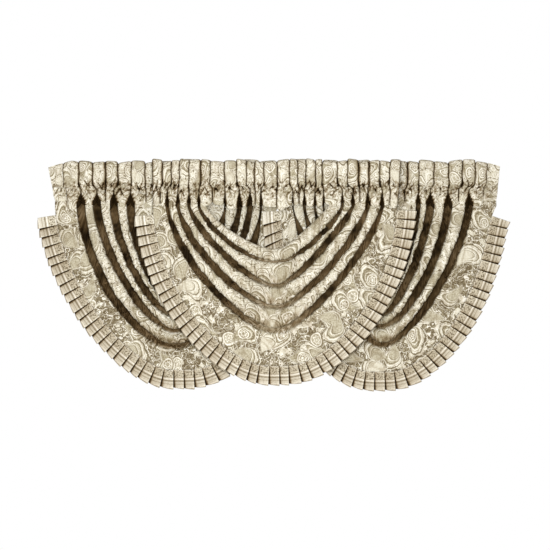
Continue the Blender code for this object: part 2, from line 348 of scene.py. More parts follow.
# %% [markdown]
# ## Rolls, folds and border
#
# Between two lines lies a strip of rows. What tells a roll from a fold is only how its rows stand forward
# or sink back, with u running from 0 at the strip's upper line to 1 at its lower one:
#
# - a roll stands forward by the root of 4 u (1 - u), a half ellipse across its width;
# - a fold sinks by 1 - |2 u - 1| to a high power, a slot with steep walls that turns soft at the bottom;
# - the border is flat cloth with a rounded lip, down to the seam.

# %% Strips of a panel
ROLL_ROUND = 0.46  # a roll's height as a share of its width
ROLL_MOST = 17.0 * MM
ROLL_UNEVEN = 0.16  # how much fatter or thinner a roll gets on its way
SLOT_STEEP = 10.0
SLOT_SOFT = 2.6
SLOT_SKEW = 0.62  # at the bottom a fold is deepest close under the roll above it
LIP = 14.0 * MM  # width of the border's rounded lip
LIP_RISE = 6.0 * MM
HEM_IN = 9.0 * MM  # how far the top edge's hem turns in behind the first roll
HEM_BACK = 24.0 * MM  # and how far back
LOW_FADE = 0.46  # how much of its painted shade a fold of the centre swag loses at the bottom
LOW_FADE_REAR = 0.16  # and one of the rear swags
LOW_SHADE = 0.55  # painted shade under the lowest roll
HEM_STEPS = np.linspace(0.0, 1.0, 6)[:-1, None]
ROLL_STEPS = (1.0 - np.cos(np.linspace(0.0, math.pi, 13)[:-1, None])) / 2.0
SLOT_STEPS = (1.0 - np.cos(np.linspace(0.0, math.pi, 10)[:-1, None])) / 2.0
BORDER_STEPS = np.linspace(0.0, 1.0, 23)[:, None] ** 1.35

# The rows between two drape lines: their steps from one to the other, how far each point sinks back, its
# painted shade, and how many folds the pattern has passed there
Strip = namedtuple("Strip", "steps sink hollow passed")


def roll_strip(number, last, width, along, low, opened, seed):
    """A roll stands forward by sqrt(4 u (1 - u)) times its puff, which follows its width up to ROLL_MOST.

    Near its lowest point its under side gets brown, patchy painted shade.
    """
    u = ROLL_STEPS
    puff = np.minimum(ROLL_ROUND * width, ROLL_MOST) * (0.45 + 0.55 * opened) * (1.0 - 0.25 * low)
    fat = 1.0 + ROLL_UNEVEN * lumps(along, 0.0, 0.09, seed + 300 + number)
    under = low * smooth((u - 0.3) / 0.6) * (0.12 + LOW_SHADE * number / last)
    under = under * (0.75 + 0.6 * lumps(along, 0.06 * u, 0.04, seed + 350 + number))
    return Strip(u, -np.sqrt(4.0 * u * (1.0 - u)) * puff * fat, under, number // 2)


def fold_strip(number, fold, fade, along, low, opened, seed):
    """A fold sinks by its depth times 1 - |2 w - 1| to a power, where w is u, skewed near the bottom.

    The power falls from SLOT_STEEP to SLOT_SOFT at the bottom. The shade painted into the fold follows a
    steeper power.
    """
    u = SLOT_STEPS
    depth = (fold.depth * (1.0 - low) + fold.depth_low * low) * MM
    depth = depth * (HEADER_DEPTH + (1.0 - HEADER_DEPTH) * opened)
    off = np.abs(2.0 * u ** (1.0 + (SLOT_SKEW - 1.0) * low) - 1.0)
    power = SLOT_STEEP + (SLOT_SOFT - SLOT_STEEP) * low
    # painted shade of the fold: it fades at the bottom and wavers slowly and in patches
    dark = (1.0 - off ** (power * 1.3)) * (1.0 - fade * low)
    dark = dark * (0.90 + 0.11 * lumps(along, 0.0, 0.15, seed + 400 + number))
    patchy = lumps(along, 0.05 * u, 0.04, seed + 450 + number)
    dark = dark * (1.0 - (0.05 + 0.6 * fade * low) * patchy)
    return Strip(u, depth * (1.0 - off**power), dark, number // 2 + u)


def border_strip(number, width, opened):
    """The border's lip is a quarter ellipse, LIP wide and LIP_RISE high, that dies away toward the seam."""
    u = BORDER_STEPS
    lip = np.clip(u * width / LIP, 0.0, 1.0)
    rise = LIP_RISE * np.sqrt(1.0 - (1.0 - lip) ** 2) * smooth((1.0 - u) / 0.7)
    return Strip(u, -rise * (0.4 + 0.6 * opened), 0.0, number // 2)


def panel_rows(swag, turns, along, seed):
    """A panel's points as one array: x, z, sink, painted shade, share of the way to the seam, and folds
    passed.
    """
    low, opened = between(turns, NEAR_LOW, 1.0), between(turns, *SOFT_OPEN)
    lines = drape_lines(swag, turns, along, seed)
    last = len(lines) - 1
    fade = LOW_FADE if swag is CENTRE else LOW_FADE_REAR
    # the turned-in hem behind the first roll, which is given painted shade
    inside = outward(*lines[0].T)
    inside[[0, -1], 1] = 0.0
    hem = lines[0] + inside * HEM_IN
    hem[:, 1] = np.minimum(hem[:, 1], -HEADER_DROP - EDGE_START)
    laid = [(hem, lines[0], 0.0, 0.0, Strip(HEM_STEPS, HEM_BACK * (1.0 - HEM_STEPS) ** 0.7, 0.7, 0))]
    for number, (first, second) in enumerate(zip(lines[:-1], lines[1:])):
        width = np.linalg.norm(second - first, axis=1)
        if number == last - 1:
            strip = border_strip(number, width, opened)
        elif number % 2 == 0:
            strip = roll_strip(number, last, width, along, low, opened, seed)
        else:
            strip = fold_strip(number, swag.folds[number // 2], fade, along, low, opened, seed)
        laid.append((first, second, number / last, (number + 1) / last, strip))
    rows = []
    for first, second, start, end, strip in laid:
        u = strip.steps
        xz = first[None] * (1.0 - u[..., None]) + second[None] * u[..., None]
        parts = (xz[..., 0], xz[..., 1], strip.sink, strip.hollow, start + (end - start) * u, strip.passed)
        rows.append(np.stack([np.broadcast_to(part, xz.shape[:2]) for part in parts]))
    return np.concatenate(rows, axis=1)


print("rows of the centre panel:", panel_rows(CENTRE, turns, along, PANEL_SEED).shape[1])

# %% [markdown]
# ## Life in the cloth
#
# Cloth that hangs in rolls is never smooth. Long soft creases cross it, and just under the header fine
# ripples fan out where it is bunched up. Both are sums of sine waves: a crease is where such a sum passes
# through zero. The tops of the rolls then run on upward past the header's hem, so that no gap shows. Most
# of them lie behind it, but some come through it, by up to 14 mm on the right.

# %% Panels
HIDDEN = (0.021, 0.064)  # how far the pattern moves on in each fold: the cloth that the fold hides
REAR_MOST = 25.0 * MM  # how far forward the rear swags may come behind the centre one
REAR_FREE = 40.0 * MM  # how much further they may come where they show beside it
CENTRE_MOST = 20.0 * MM  # and how far back the centre swag may go
OVERLAP_X, OVERLAP_FADE = 0.44, 0.05  # how far to each side the swags overlap
CREASED, SWOLLEN, DIMPLED, RIPPLED = 2.8 * MM, 1.8 * MM, 0.7 * MM, 1.8 * MM  # how far each moves the cloth
RIPPLE_REACH = 60.0 * MM  # how far below the header the ripples die away
# The roll tops, in millimetres: how far up and back each column goes, and how much of the roll is left
Top = namedtuple("Top", "up back left")
TOPS = [Top(24.0, 10.0, 0.0), Top(17.0, 5.0, 0.3), Top(10.0, 1.0, 0.65), Top(4.5, 0.0, 0.9)]


def add_tops(swag, grid, flat, hollow, inward):
    """Repeats the first and last columns for every row of TOPS, then lifts them and lays them back.

    The depth of a roll there is its depth in front of the header's plane, times what is left of the roll.
    """
    more = len(TOPS)
    grid, flat = (np.pad(part, ((0, 0), (more, more), (0, 0)), mode="edge") for part in (grid, flat))
    hollow, inward = (np.pad(part, ((0, 0), (more, more)), mode="edge") for part in (hollow, inward))
    plane = swag.rod_y - BAND_FRONT
    up, back, left = np.array(TOPS).T
    for ends in (np.s_[:, :more], np.s_[:, : -more - 1 : -1]):
        top, place = grid[ends], flat[ends]
        top[..., 1] = plane + (top[..., 1] - plane) * left + back * MM
        top[..., 2] += up * MM
        place[..., 1] += up * MM
    return grid, flat, hollow, inward


def panel_surface(swag, seed):
    """The panel's grid, flat places, painted shade and distances in from the seam."""
    turns, along = even_turns(swag, PANEL_COLUMNS)
    x, z, sink, hollow, share, passed = panel_rows(swag, turns, along, seed)
    tuck = np.where(turns < math.pi / 2, swag.tuck_left, swag.tuck_right) * MM
    y = front_of(swag, z) + sink + tuck * share**2 * np.cos(turns) ** 2
    grid = np.stack([x, y, z], axis=-1)
    flow, inward = runs(grid)
    flat = np.stack([x + HIDDEN[0] * passed, z + HIDDEN[1] * passed + 0.5 * sink], axis=-1)

    soft = (1.0 - hollow) * (0.3 + 0.7 * between(turns, *SOFT_OPEN))
    crease = crumples(flow, inward, 0.055, seed + 500)
    swell = SWOLLEN * lumps(flow, inward, 0.05, seed + 510) + DIMPLED * lumps(flow, inward, 0.018, seed + 600)
    near_top = np.exp(-np.maximum(-HEADER_DROP - z, 0.0) / RIPPLE_REACH) * (1.0 - hollow)
    ripple = crumples(flow, inward * 0.35, 0.024, seed + 700) * (0.18 + 0.82 * near_top) * (1.0 - hollow)
    y = y + soft * (CREASED * crease - swell) + RIPPLED * ripple
    # the creases and ripples are also darkened with painted shade
    hollow = hollow + 0.24 * crease * soft + 0.30 * ripple
    # where the swags overlap, the rear rolls stay behind the centre swag's folds
    if swag is CENTRE:
        grid[..., 1] = np.minimum(y, CENTRE_MOST)
    else:
        beside = smooth((np.abs(x) - OVERLAP_X) / OVERLAP_FADE)
        grid[..., 1] = np.maximum(y, REAR_MOST - REAR_FREE * beside)
    return add_tops(swag, grid, flat, hollow, inward)


panels = {}
for number, swag in enumerate(SWAGS):
    grid, flat, hollow, inward = panel_surface(swag, PANEL_SEED * (number + 1))
    panels[swag.name] = sheet_object(f"{swag.name}_swag_cloth", grid, flat, hollow, inward)
    print(swag.name, "panel grid", grid.shape[:2], "y", np.round([grid[..., 1].min(), grid[..., 1].max()], 3))

# %% [markdown]
# ## The gathered header
#
# The header is one strip, folded over and stitched to make a pocket for the rod. The strip is a good
# third longer than its place on the rod, so it gathers: above the stitching into flat-faced box gathers with
# a sharp crease between them, and below it into a short band of ridges that run on into the swag's rolls.
#
# The strip's section is a path up the front, over the top and down the back. Each point is then pushed
# forward or back by the gather that it lies on. The columns crowd towards the creases, because a crease is
# sharp and a gather's face is nearly flat, and the rows crowd towards the stitches.

# %% The header's section
STITCH_DROP = 110.0 * MM
SECTION_ROWS = 84
STITCH_CLOSER = 2.2  # how much closer the rows lie at the stitches
STITCH_NEAR = 34.0 * MM  # within about this distance of them
# Points of the section, in millimetres: front of the rod line and drop from the top
Row = namedtuple("Row", "front drop")
SECTION = [
    Row(8.0, 184.0), Row(8.2, 150.0), Row(7.5, 128.0), Row(5.5, 110.0), Row(9.0, 96.0), Row(12.5, 80.0),
    Row(14.0, 55.0), Row(14.0, 25.0), Row(12.5, 10.0), Row(8.0, 3.0), Row(0.0, 0.5), Row(-8.0, 3.0),
    Row(-12.5, 10.0), Row(-14.0, 25.0), Row(-14.0, 60.0), Row(-12.0, 85.0), Row(-4.0, 100.0), Row(1.5, 110.0),
]


def section_path():
    """The strip's section as a smooth path: front, drop and distance run, in metres.

    The rows lie as close as a weight of 1 + STITCH_CLOSER * exp(-(distance from the stitches / STITCH_NEAR)
    squared), and the path's corners are averaged away twice.
    """
    front, drop = np.array(SECTION).T * MM
    run = lengths(front, drop)
    fine = np.linspace(0.0, run[-1], 1001)
    from_stitch = (fine - (SECTION[0].drop * MM - STITCH_DROP)) / STITCH_NEAR
    weight = np.cumsum(1.0 + STITCH_CLOSER * np.exp(-(from_stitch**2)))
    weight = (weight - weight[0]) / (weight[-1] - weight[0])
    even = np.interp(np.linspace(0.0, 1.0, SECTION_ROWS), weight, fine)
    path = np.stack([np.interp(even, run, front), np.interp(even, run, drop)], axis=1)
    for _ in range(2):
        path[1:-1] = (path[:-2] + 2.0 * path[1:-1] + path[2:]) / 4.0
    return path[:, 0], path[:, 1], even


print("the header strip is", round(float(section_path()[2][-1]), 3), "m from hem to stitches")

# %% Where the gathers lie
# How far across a gather each of its columns lies: they crowd at both creases and at a pucker half way
CROWD = np.array(
    [0, 0.02, 0.05, 0.1, 0.17, 0.26, 0.36, 0.43, 0.47, 0.5, 0.53, 0.57, 0.64, 0.74, 0.83, 0.9, 0.95, 0.98]
)
# For every column: its gather, how far across it, and the nearest crease; its x at the top and at the hem;
# the width of its gather at both; the mouth that opens at its crease; and 0 on a flat end, 1 elsewhere.
# For every crease: 0 at the strip's two ends, 1 elsewhere.
Gathers = namedtuple("Gathers", "count gather u nearest place place_low space space_low mouth bent inner")


def band_marks(swag, stops, draw):
    """Where the band's creases end at the hem, and how wide each opens: at a fold of the swag, its mouth.

    In the V of the centre swag the band opens over the folds of the two swags behind. The creases between
    two folds are then spread evenly, by moving each one half way to the middle of its neighbours.
    """
    marks = stops.copy()
    mouth = np.zeros(len(stops))
    ends = [(fold.left, fold.mouth_left) for fold in swag.folds]
    ends += [(fold.right, fold.mouth_right) for fold in swag.folds]
    if swag is CENTRE:
        ends += [(fold.right, fold.mouth_right) for fold in LEFT.folds]
        ends += [(fold.left, fold.mouth_left) for fold in RIGHT.folds]
    for at, wide in ends:
        nearest = 1 + int(np.argmin(np.abs(marks[1:-1] - at * MM) + (mouth[1:-1] > 0)))
        marks[nearest] = at * MM
        mouth[nearest] = wide * MM
    order = np.argsort(marks)
    marks, mouth = marks[order], mouth[order]
    free = mouth[1:-1] == 0
    for _ in range(20):
        middle = (marks[:-2] + marks[2:]) / 2
        marks[1:-1] = np.where(free, (marks[1:-1] + middle) / 2, marks[1:-1])
    marks[1:-1] += free * draw.uniform(-3.0, 3.0, len(free)) * MM
    return marks, mouth


def gather_columns(swag, draw):
    """The header's columns, CROWD's steps across every gather, as one Gathers record."""
    shape = swag.header
    stops = np.array([shape.left, *shape.creases, shape.right]) * MM
    count = len(stops) - 1
    param = np.append((np.arange(count)[:, None] + CROWD[None]).ravel(), count)
    gather = np.minimum(param.astype(int), count - 1)
    nearest = np.clip(np.round(param).astype(int), 0, count)
    marks, mouth = band_marks(swag, stops, draw)
    numbers = np.arange(count + 1)
    bent, inner = np.ones(count), np.ones(count + 1)
    bent[0], bent[-1] = shape.left_dip == 0, shape.right_dip == 0
    inner[[0, -1]] = 0.0
    place, place_low = np.interp(param, numbers, stops), np.interp(param, numbers, marks)
    space, space_low = np.diff(stops)[gather], np.diff(marks)[gather]
    return Gathers(
        count, gather, param - gather, nearest, place, place_low, space, space_low, mouth[nearest],
        bent[gather], inner,
    )


print("gathers:", {swag.name: len(swag.header.creases) + 1 for swag in SWAGS})

# %% [markdown]
# ## Slits and crumples at the stitching
#
# Where a gathered strip is stitched down, every crease is pulled open into a small dark wedge, short
# puckers end between them, and the cloth is a tangle of tiny creases. Real ones are too many to place by
# hand, so each crease and each gather draws its own sizes by chance, from a seeded generator that gives the
# same numbers every time.

# %% Slits and crumples
BAND_START, BAND_OPEN = 122.0 * MM, 56.0 * MM  # where a fold's mouth starts to open in the band, and how soon


def slits(cloth, drop, level, draw):
    """How open the cloth lies, 0 to 1, above the stitches, in the band and at the puckers.

    Above them a crease is a wedge: its half width grows from 0 at its tip, `tall` above the stitches, to
    `wide` at them, as the share of the way down to the power 1.3. In the band it opens to the fold's mouth.
    A pucker is a slit across the stitches that narrows evenly to both its tips. The first two values give
    each column's distance from its crease, above the stitches and in the band.
    """
    to_crease = np.minimum(cloth.u, 1.0 - cloth.u) * cloth.space
    to_low = np.minimum(cloth.u, 1.0 - cloth.u) * cloth.space_low
    tall = draw.uniform(18.0, 60.0, cloth.count + 1)[cloth.nearest] * MM
    wide = (8.5 * MM * draw.uniform(0.1, 1.0, cloth.count + 1) ** 1.6 * cloth.inner)[cloth.nearest]
    down = np.clip((drop - (level - tall)) / tall, 0.0, 1.0)
    wedge = wide * down**1.3 * (1.0 - smooth((drop - level) / (14.0 * MM)))
    above = 1.0 - smooth((to_crease - wedge) / (1.6 * MM))
    opening = 0.56 * cloth.mouth * smooth((drop - BAND_START) / BAND_OPEN)
    below = 1.0 - smooth((to_low - opening) / (2.2 * MM))

    split, reach, lift, thick = (
        draw.uniform(least, most, cloth.count)[cloth.gather]
        for least, most in ((0.3, 0.7), (10.0, 34.0), (-6.0, 16.0), (1.0, 3.6))
    )
    narrowed = np.clip(1.0 - np.abs(drop - level - lift * MM) / (reach * MM), 0.0, 1.0)
    leaning = 0.4 * (drop - level) * np.sign(split - 0.5)
    to_pucker = np.abs(np.abs(cloth.u - split) * cloth.space + leaning)
    pucker = (1.0 - smooth((to_pucker - thick * MM * narrowed) / (2.0 * MM))) * (narrowed > 0.0)
    return to_crease, to_low, above, below, pucker


def crumpled(x, drop, stitched, bent, seed):
    """How far the crumpled cloth stands forward, in metres, and the shade painted into its creases.

    Knots and threads are sharp creases near the stitches, and lumps swell between them; away from the
    stitches only fine creases are left.
    """
    knots = crumples(x, drop, 0.030, seed + 1, 0.15) * stitched * (0.5 + 0.5 * bent)
    threads = crumples(x * 1.6, drop, 0.036, seed + 11, 0.14) * smooth((stitched - 0.12) / 0.4)
    fine = crumples(x, drop * 0.5, 0.05, seed + 2) * (1.0 - stitched)
    small = lumps(x, drop, 0.018, seed + 10)
    # spots of painted shade in the crumpled zone, where the small lumps run lowest
    spot_shade = smooth((small + 0.1) / -0.7) * smooth((stitched - 0.3) / 0.5)
    swell = stitched * (5.0 * lumps(x, drop, 0.022, seed + 6) - 4.0 * small)
    dark = 0.56 * knots**2 + 0.60 * threads + 0.20 * fine + 0.30 * spot_shade * (0.6 + 0.4 * bent)
    return MM * (swell - 4.0 * knots - 2.5 * threads - 1.6 * fine), dark


print("at a stitched spot and a plain one:", [crumpled(0.1, 0.11, s, 1.0, 0)[1].round(2) for s in (1.0, 0.0)])

# %% Headers
BACK_FROM = 0.62  # the share of the strip's length where its back layer starts
BAND_TOP, BAND_TURN = 96.0 * MM, 26.0 * MM  # where box gathers start to turn into ridges, and how soon
STITCH_LEVEL, STITCH_WANDER = 112.0 * MM, 11.0 * MM  # height of the crumpled zone, and how far it wanders
CRUMPLED_ABOVE, CRUMPLED_BELOW = 22.0 * MM, 38.0 * MM  # how far it reaches
END_REACH = 90.0 * MM  # how far in from each end the strip swings out and its top dips
CROWN = 45.0 * MM  # how far down from the top a gather's own height still tells
HEM_TOP, HEM_REACH = 140.0 * MM, 44.0 * MM  # where the hem's arcs start to tell, and how soon
# one ridge hangs lower where the two rear swags part: where, how wide and how far
PARTING_X, PARTING_WIDE, PARTING_DROP = 13.0 * MM, 16.0 * MM, 19.0 * MM


def header_surface(swag, seed):
    """The header's grid, flat places and painted shade.

    Above the stitching each gather's face is the root of 1 - |2 u - 1| to the fifth power, u running from
    crease to crease; in the band the power is 2.6, so that the ridges are round. The top and the hem follow
    the same sort of curve, each gather at its own height.
    """
    draw = np.random.default_rng(seed)
    cloth = gather_columns(swag, draw)
    shape, gather, u, bent = swag.header, cloth.gather, cloth.u, cloth.bent
    front, drop, run = section_path()
    front, drop = front[:, None], drop[:, None]
    behind = (run > run[-1] * BACK_FROM)[:, None]
    lower = smooth((drop - BAND_TOP) / BAND_TURN) * ~behind
    across = np.abs(2.0 * u - 1.0)

    def by_gather(least, most):
        """One draw for each gather, in millimetres, given to all its columns."""
        return draw.uniform(least, most, cloth.count)[gather] * MM

    # the stitches wander up and down, so the crumpled zone does too
    level = STITCH_LEVEL + STITCH_WANDER * lumps(cloth.place, 0.0, 0.07, seed + 7)
    stitched = np.exp(-(((drop - level) / np.where(drop < level, CRUMPLED_ABOVE, CRUMPLED_BELOW)) ** 2))

    # x: every crease leans and wavers a little on its way down, and slides to its mark in the band
    tilt = draw.uniform(-3.0, 3.0, cloth.count + 1) * MM
    wave = draw.uniform(0.0, 2.0 * math.pi, cloth.count + 1)
    creases = cloth.inner * (tilt * (drop / STITCH_DROP) + 1.0 * MM * np.sin(drop / (11.0 * MM) + wave))
    sway = creases[:, gather] * (1.0 - u) + creases[:, gather + 1] * u
    near_left = np.clip(1.0 - (cloth.place - cloth.place[0]) / END_REACH, 0.0, 1.0)
    near_right = np.clip(1.0 - (cloth.place[-1] - cloth.place) / END_REACH, 0.0, 1.0)
    swing = MM * ((shape.left_low - shape.left) * near_left + (shape.right_low - shape.right) * near_right)
    x = (cloth.place + sway) * (1.0 - lower) + cloth.place_low * lower + swing * drop / HEADER_DROP

    # y: the gathers' faces and the band's ridges, the slits and the crumples
    to_crease, to_low, above, below, pucker = slits(cloth, drop, level, draw)
    gap = np.maximum(np.maximum(above * (1.0 - lower), below * lower), 0.8 * pucker) * bent * ~behind
    face, face_low = (np.sqrt(1.0 - across**power) * bent for power in (5, 2.6))
    rise, rise_low = by_gather(9.0, 14.0), by_gather(10.0, 15.0)
    forward = rise * (face - 0.6) * (1.0 - lower) + rise_low * (face_low - 0.6) * lower
    crumple, crease_shade = crumpled(x, drop, stitched, bent, seed)
    forward = forward * (1.0 - 0.35 * stitched) + crumple - 5.0 * MM * gap
    y = swag.rod_y - front - forward * np.where(behind, -1.0, 1.0) - 0.8 * MM * lumps(x, drop, 0.03, seed + 3)

    # z: each gather's own top, the dip of a flat end, and a shallow arc of the hem under every ridge
    tops, slope = by_gather(0.0, 13.0) * (face > 0), by_gather(-9.0, 9.0) * (u - 0.5)
    fall = (1.0 - np.sqrt(1.0 - across**6)) * 10.0 * MM * bent + tops + slope
    dip = (shape.left_dip * near_left + shape.right_dip * near_right) * MM
    z = -drop - np.maximum(fall, 0.0) * np.clip(1.0 - drop / CROWN, 0.0, 1.0)
    z = z - dip * np.clip(1.0 - drop / STITCH_DROP, 0.0, 1.0)
    arch = by_gather(-6.0, 32.0) * np.sqrt(1.0 - across**2.2)
    lift = 20.0 * MM * (1.0 - face_low) - 0.5 * arch + 2.0 * MM * lumps(x, 0.0, 0.05, seed + 4) + 3.0 * MM
    parting = PARTING_DROP * np.exp(-(((x - PARTING_X) / PARTING_WIDE) ** 2)) * (swag is CENTRE)
    z = z + smooth((drop - HEM_TOP) / HEM_REACH) * (lift - parting)

    # painted shade: thin at the creases, full in the wedges and the mouths, and in the puckers and crumples
    strong = draw.uniform(0.82, 1.0, cloth.count + 1)[cloth.nearest]
    line_wide = (2.4 + 3.2 * draw.uniform(0.0, 1.0, cloth.count + 1) ** 3)[cloth.nearest] * MM
    line_up, line_low = (
        strong * np.exp(-((away / wide) ** 2)) for away, wide in ((to_crease, line_wide), (to_low, 2.6 * MM))
    )
    hollow = np.maximum(line_up, above) * (1.0 - lower) + np.maximum(line_low, below) * lower
    hollow = np.maximum(hollow, 0.9 * pucker) * bent + crease_shade

    # each gather shows another part of the cloth, and the pattern swirls where the cloth is crumpled
    flat_x = np.concatenate([[0.0], np.cumsum(np.diff(cloth.place) * 1.25)]) + 0.05 * gather
    swirl = 0.022 * stitched * lumps(x, drop, 0.04, seed + 8)
    flat = np.stack([flat_x[None] + swirl, run[:, None] + 0.4 + swirl], axis=-1)
    return np.stack([x, y, z], axis=-1), flat, hollow


headers = {}
for number, swag in enumerate(SWAGS):
    grid, flat, hollow = header_surface(swag, 4000 + 100 * number)
    headers[swag.name] = sheet_object(f"{swag.name}_header_cloth", grid, flat, hollow)
    print(swag.name, "header grid", grid.shape[:2], "top", round(float(grid[..., 2].max()), 4))

# %% [markdown]
# ## The knife-pleated trim
#
# The trim is a striped strip, folded into knife pleats that all face one way and pressed, then sewn under
# the panel's edge. Seen on edge it is a flat Z at every pleat: the face runs forward to its folded edge,
# the cloth turns back under it for a little way, and turns again to run on as the next face. The path of
# one pleat is a short table, and every pleat repeats it with small differences of its own.

# %% Trims
TRIM_WIDTH = 71.0 * MM
TRIM_CLOTH_THICK = 0.8 * MM
SEAM_GAP = 0.2 * MM
PLEATS = {"left": 44, "right": 45, "centre": 46}
TRIM_ROWS = 13
# How far the right swag's first pleats lean down, in millimetres
TOP_LEAN = [0.0, 14.0, 20.0, 20.0, 16.0, 10.0, 4.0]
# One pleat: place as a share of the pitch and as millimetres past it, and depth behind the seam's plane
Turn = namedtuple("Turn", "share past depth")
PLEAT = [
    Turn(0.0, -11.0, 3.6), Turn(0.0, -5.0, 3.0), Turn(0.0, 0.0, 2.6), Turn(0.0, 3.0, 2.0),
    Turn(0.0, 6.0, 1.4), Turn(0.25, 0.0, 0.2), Turn(0.45, 0.0, -1.2), Turn(0.65, 0.0, -2.5),
    Turn(0.85, 0.0, -3.6), Turn(1.0, -3.0, -4.2), Turn(1.0, -0.6, -4.2), Turn(1.0, 0.0, -3.5),
    Turn(1.0, -0.6, -2.8), Turn(1.0, -4.0, -1.0), Turn(1.0, -9.0, 1.8), Turn(1.0, -11.6, 2.6),
]
TURNED_UNDER = 10  # the turns after this one lie under the folded edge


def trim_surface(swag, seed):
    """The trim's grid, flat places, painted shade and pitch: the pleat's path along the seam, carried
    outward.

    A point lies SEAM_GAP + v * (TRIM_WIDTH - SEAM_GAP + hem) out from the seam, v running over the width,
    and its depth grows with v from about half the pleat's height at the seam to all of it at the outer
    edge. A face takes a painted shadow where it comes out from under the edge before it, by exp(-(distance /
    reach) to the fourth power), and the reach grows with v.
    """
    draw = np.random.default_rng(seed)
    turns = np.linspace(0.0, math.pi, 4001)
    seam_x, seam_z = seam_path(swag, turns)
    run = lengths(seam_x, seam_z)
    middle = len(turns) // 2
    start = np.interp(HEADER_DROP + swag.trim_left * MM, -seam_z[: middle + 1], run[: middle + 1])
    end = np.interp(-HEADER_DROP - swag.trim_right * MM, seam_z[middle:], run[middle:])
    pleats = PLEATS[swag.name]
    pitch = (end - start) / pleats
    pleat = np.repeat(np.arange(pleats), len(PLEAT))
    share, past, depth = np.tile(np.array(PLEAT).T, pleats) * [[1.0], [MM], [MM]]

    # where each pleat's fold lies along the seam, and how far its edge leans
    lift = depth * draw.uniform(0.75, 1.25, pleats)[pleat]
    fold_at = start + pitch * (np.arange(pleats + 1) + draw.uniform(-0.09, 0.09, pleats + 1))
    fold_at[[0, -1]] = start, end
    lean = draw.uniform(-2.4, 2.4, pleats + 1) * MM
    if swag is RIGHT:
        lean[: len(TOP_LEAN)] += np.array(TOP_LEAN) * MM
    first, second = fold_at[pleat], fold_at[pleat + 1]
    at = np.clip(first + (second - first) * share + past, start, end)
    slant = lean[pleat] * (1.0 - share) + lean[pleat + 1] * share

    v = np.linspace(0.0, 1.0, TRIM_ROWS)[:, None]
    along = at[None] + slant[None] * v
    x, z, turned = (np.interp(along, run, part) for part in (seam_x, seam_z, turns))
    way = np.stack([np.interp(along, run, part) for part in outward(seam_x, seam_z).T], axis=-1)
    way /= np.linalg.norm(way, axis=-1, keepdims=True)
    tuck = np.where(turned < math.pi / 2, swag.tuck_left, swag.tuck_right) * MM
    hem = draw.uniform(-1.6, 1.6, pleats)[pleat] * MM - 0.9 * depth
    out = SEAM_GAP + v * (TRIM_WIDTH - SEAM_GAP + hem)
    y = front_of(swag, z) + tuck * np.cos(turned) ** 2 + lift * (0.45 + 0.75 * v)
    y = y - 0.5 * MM * lumps(along, out, 0.05, seed + 1)
    grid = np.stack([x + way[..., 0] * out, y, z + way[..., 1] * out], axis=-1)

    # painted shade: the cloth turned under a folded edge is shaded fully, and a face gets a painted shadow
    # where it comes out from under the edge before it
    under = np.tile(np.arange(len(PLEAT)) > TURNED_UNDER, pleats)
    beyond = np.maximum(at - first, 0.0)[None]
    dark = 1.05 * np.exp(-((beyond / ((2.4 + 4.8 * v) * MM)) ** 4)) + 0.16 * np.exp(-beyond / (12.0 * MM))
    # painted highlight: a face takes less painted shade near its folded edge, as if that edge caught the
    # light, and each pleat gets a random extra darkness of its own
    dark = dark + 0.12 * smooth((second - at) / (7.0 * MM)) + draw.uniform(0.0, 0.10, pleats)[pleat]
    hollow = np.where(under[None], 1.0, dark) * (pleat > 0)
    strip = np.concatenate([[0.0], np.cumsum(np.abs(np.diff(at)))])
    flat = np.stack(np.broadcast_arrays(strip[None], out), axis=-1)
    return grid, flat, hollow, pitch


trims, strip_lengths = {}, {}
for number, swag in enumerate(SWAGS):
    grid, flat, hollow, pitch = trim_surface(swag, 7000 + 100 * number)
    strip_lengths[swag.name] = round(float(flat[..., 0].max()), 2)
    trims[swag.name] = sheet_object(f"{swag.name}_trim_cloth", grid, flat, hollow, thickness=TRIM_CLOTH_THICK)
    print(swag.name, "trim: pitch", round(pitch * 1000, 1), "mm, strip", strip_lengths[swag.name], "m")

# %% [markdown]
# ## Cloth materials
#
# The panels and headers are a jacquard: cream figures and outlines woven into a taupe ground. The figures
# here are a plain paisley of this script's own, laid out by chance. Node groups hold what both cloths use,
# the weave and the shade of a fold, so that each is built once. A few short helpers keep the node code
# readable: each adds one kind of node and gives back its output.


# %% Node helpers
def add(tree, kind, inputs=None, **settings):
    """Adds a node, gives it its settings, and fills or links its inputs by name or number."""
    made = tree.nodes.new(kind)
    for name, value in settings.items():
        setattr(made, name, value)
    for key, value in (inputs or {}).items():
        if isinstance(value, bpy.types.NodeSocket):
            tree.links.new(value, made.inputs[key])
        else:
            made.inputs[key].default_value = value
    return made


def calc(tree, operation, a, b=0.0, c=0.0):
    """One step of arithmetic on numbers."""
    return add(tree, "ShaderNodeMath", {0: a, 1: b, 2: c}, operation=operation).outputs[0]


def vector(tree, operation, a, b):
    """One step of arithmetic on vectors; b is a vector, or the factor for SCALE."""
    sockets = {0: a, 3 if operation == "SCALE" else 1: b}
    return add(tree, "ShaderNodeVectorMath", sockets, operation=operation).outputs["Vector"]


def xyz(tree, value):
    """The X, Y and Z outputs of a vector."""
    return add(tree, "ShaderNodeSeparateXYZ", {0: value}).outputs


def noise(tree, place, scale, detail):
    """Blender's noise, about 0.5 and mostly 0.3 to 0.7, in features 1 / scale metres across."""
    return add(tree, "ShaderNodeTexNoise", {"Vector": place, "Scale": scale, "Detail": detail}).outputs["Fac"]


def attribute(tree, name):
    """A value that the cloth's points carry."""
    return add(tree, "ShaderNodeAttribute", attribute_name=name).outputs["Fac"]


def band(tree, value, low, high):
    """0 below `low`, 1 above `high` and a soft S between, clamped; low may be above high."""
    made = add(tree, "ShaderNodeMapRange", {"Value": value, "From Min": low, "From Max": high})
    made.interpolation_type = "SMOOTHSTEP"
    return made.outputs["Result"]


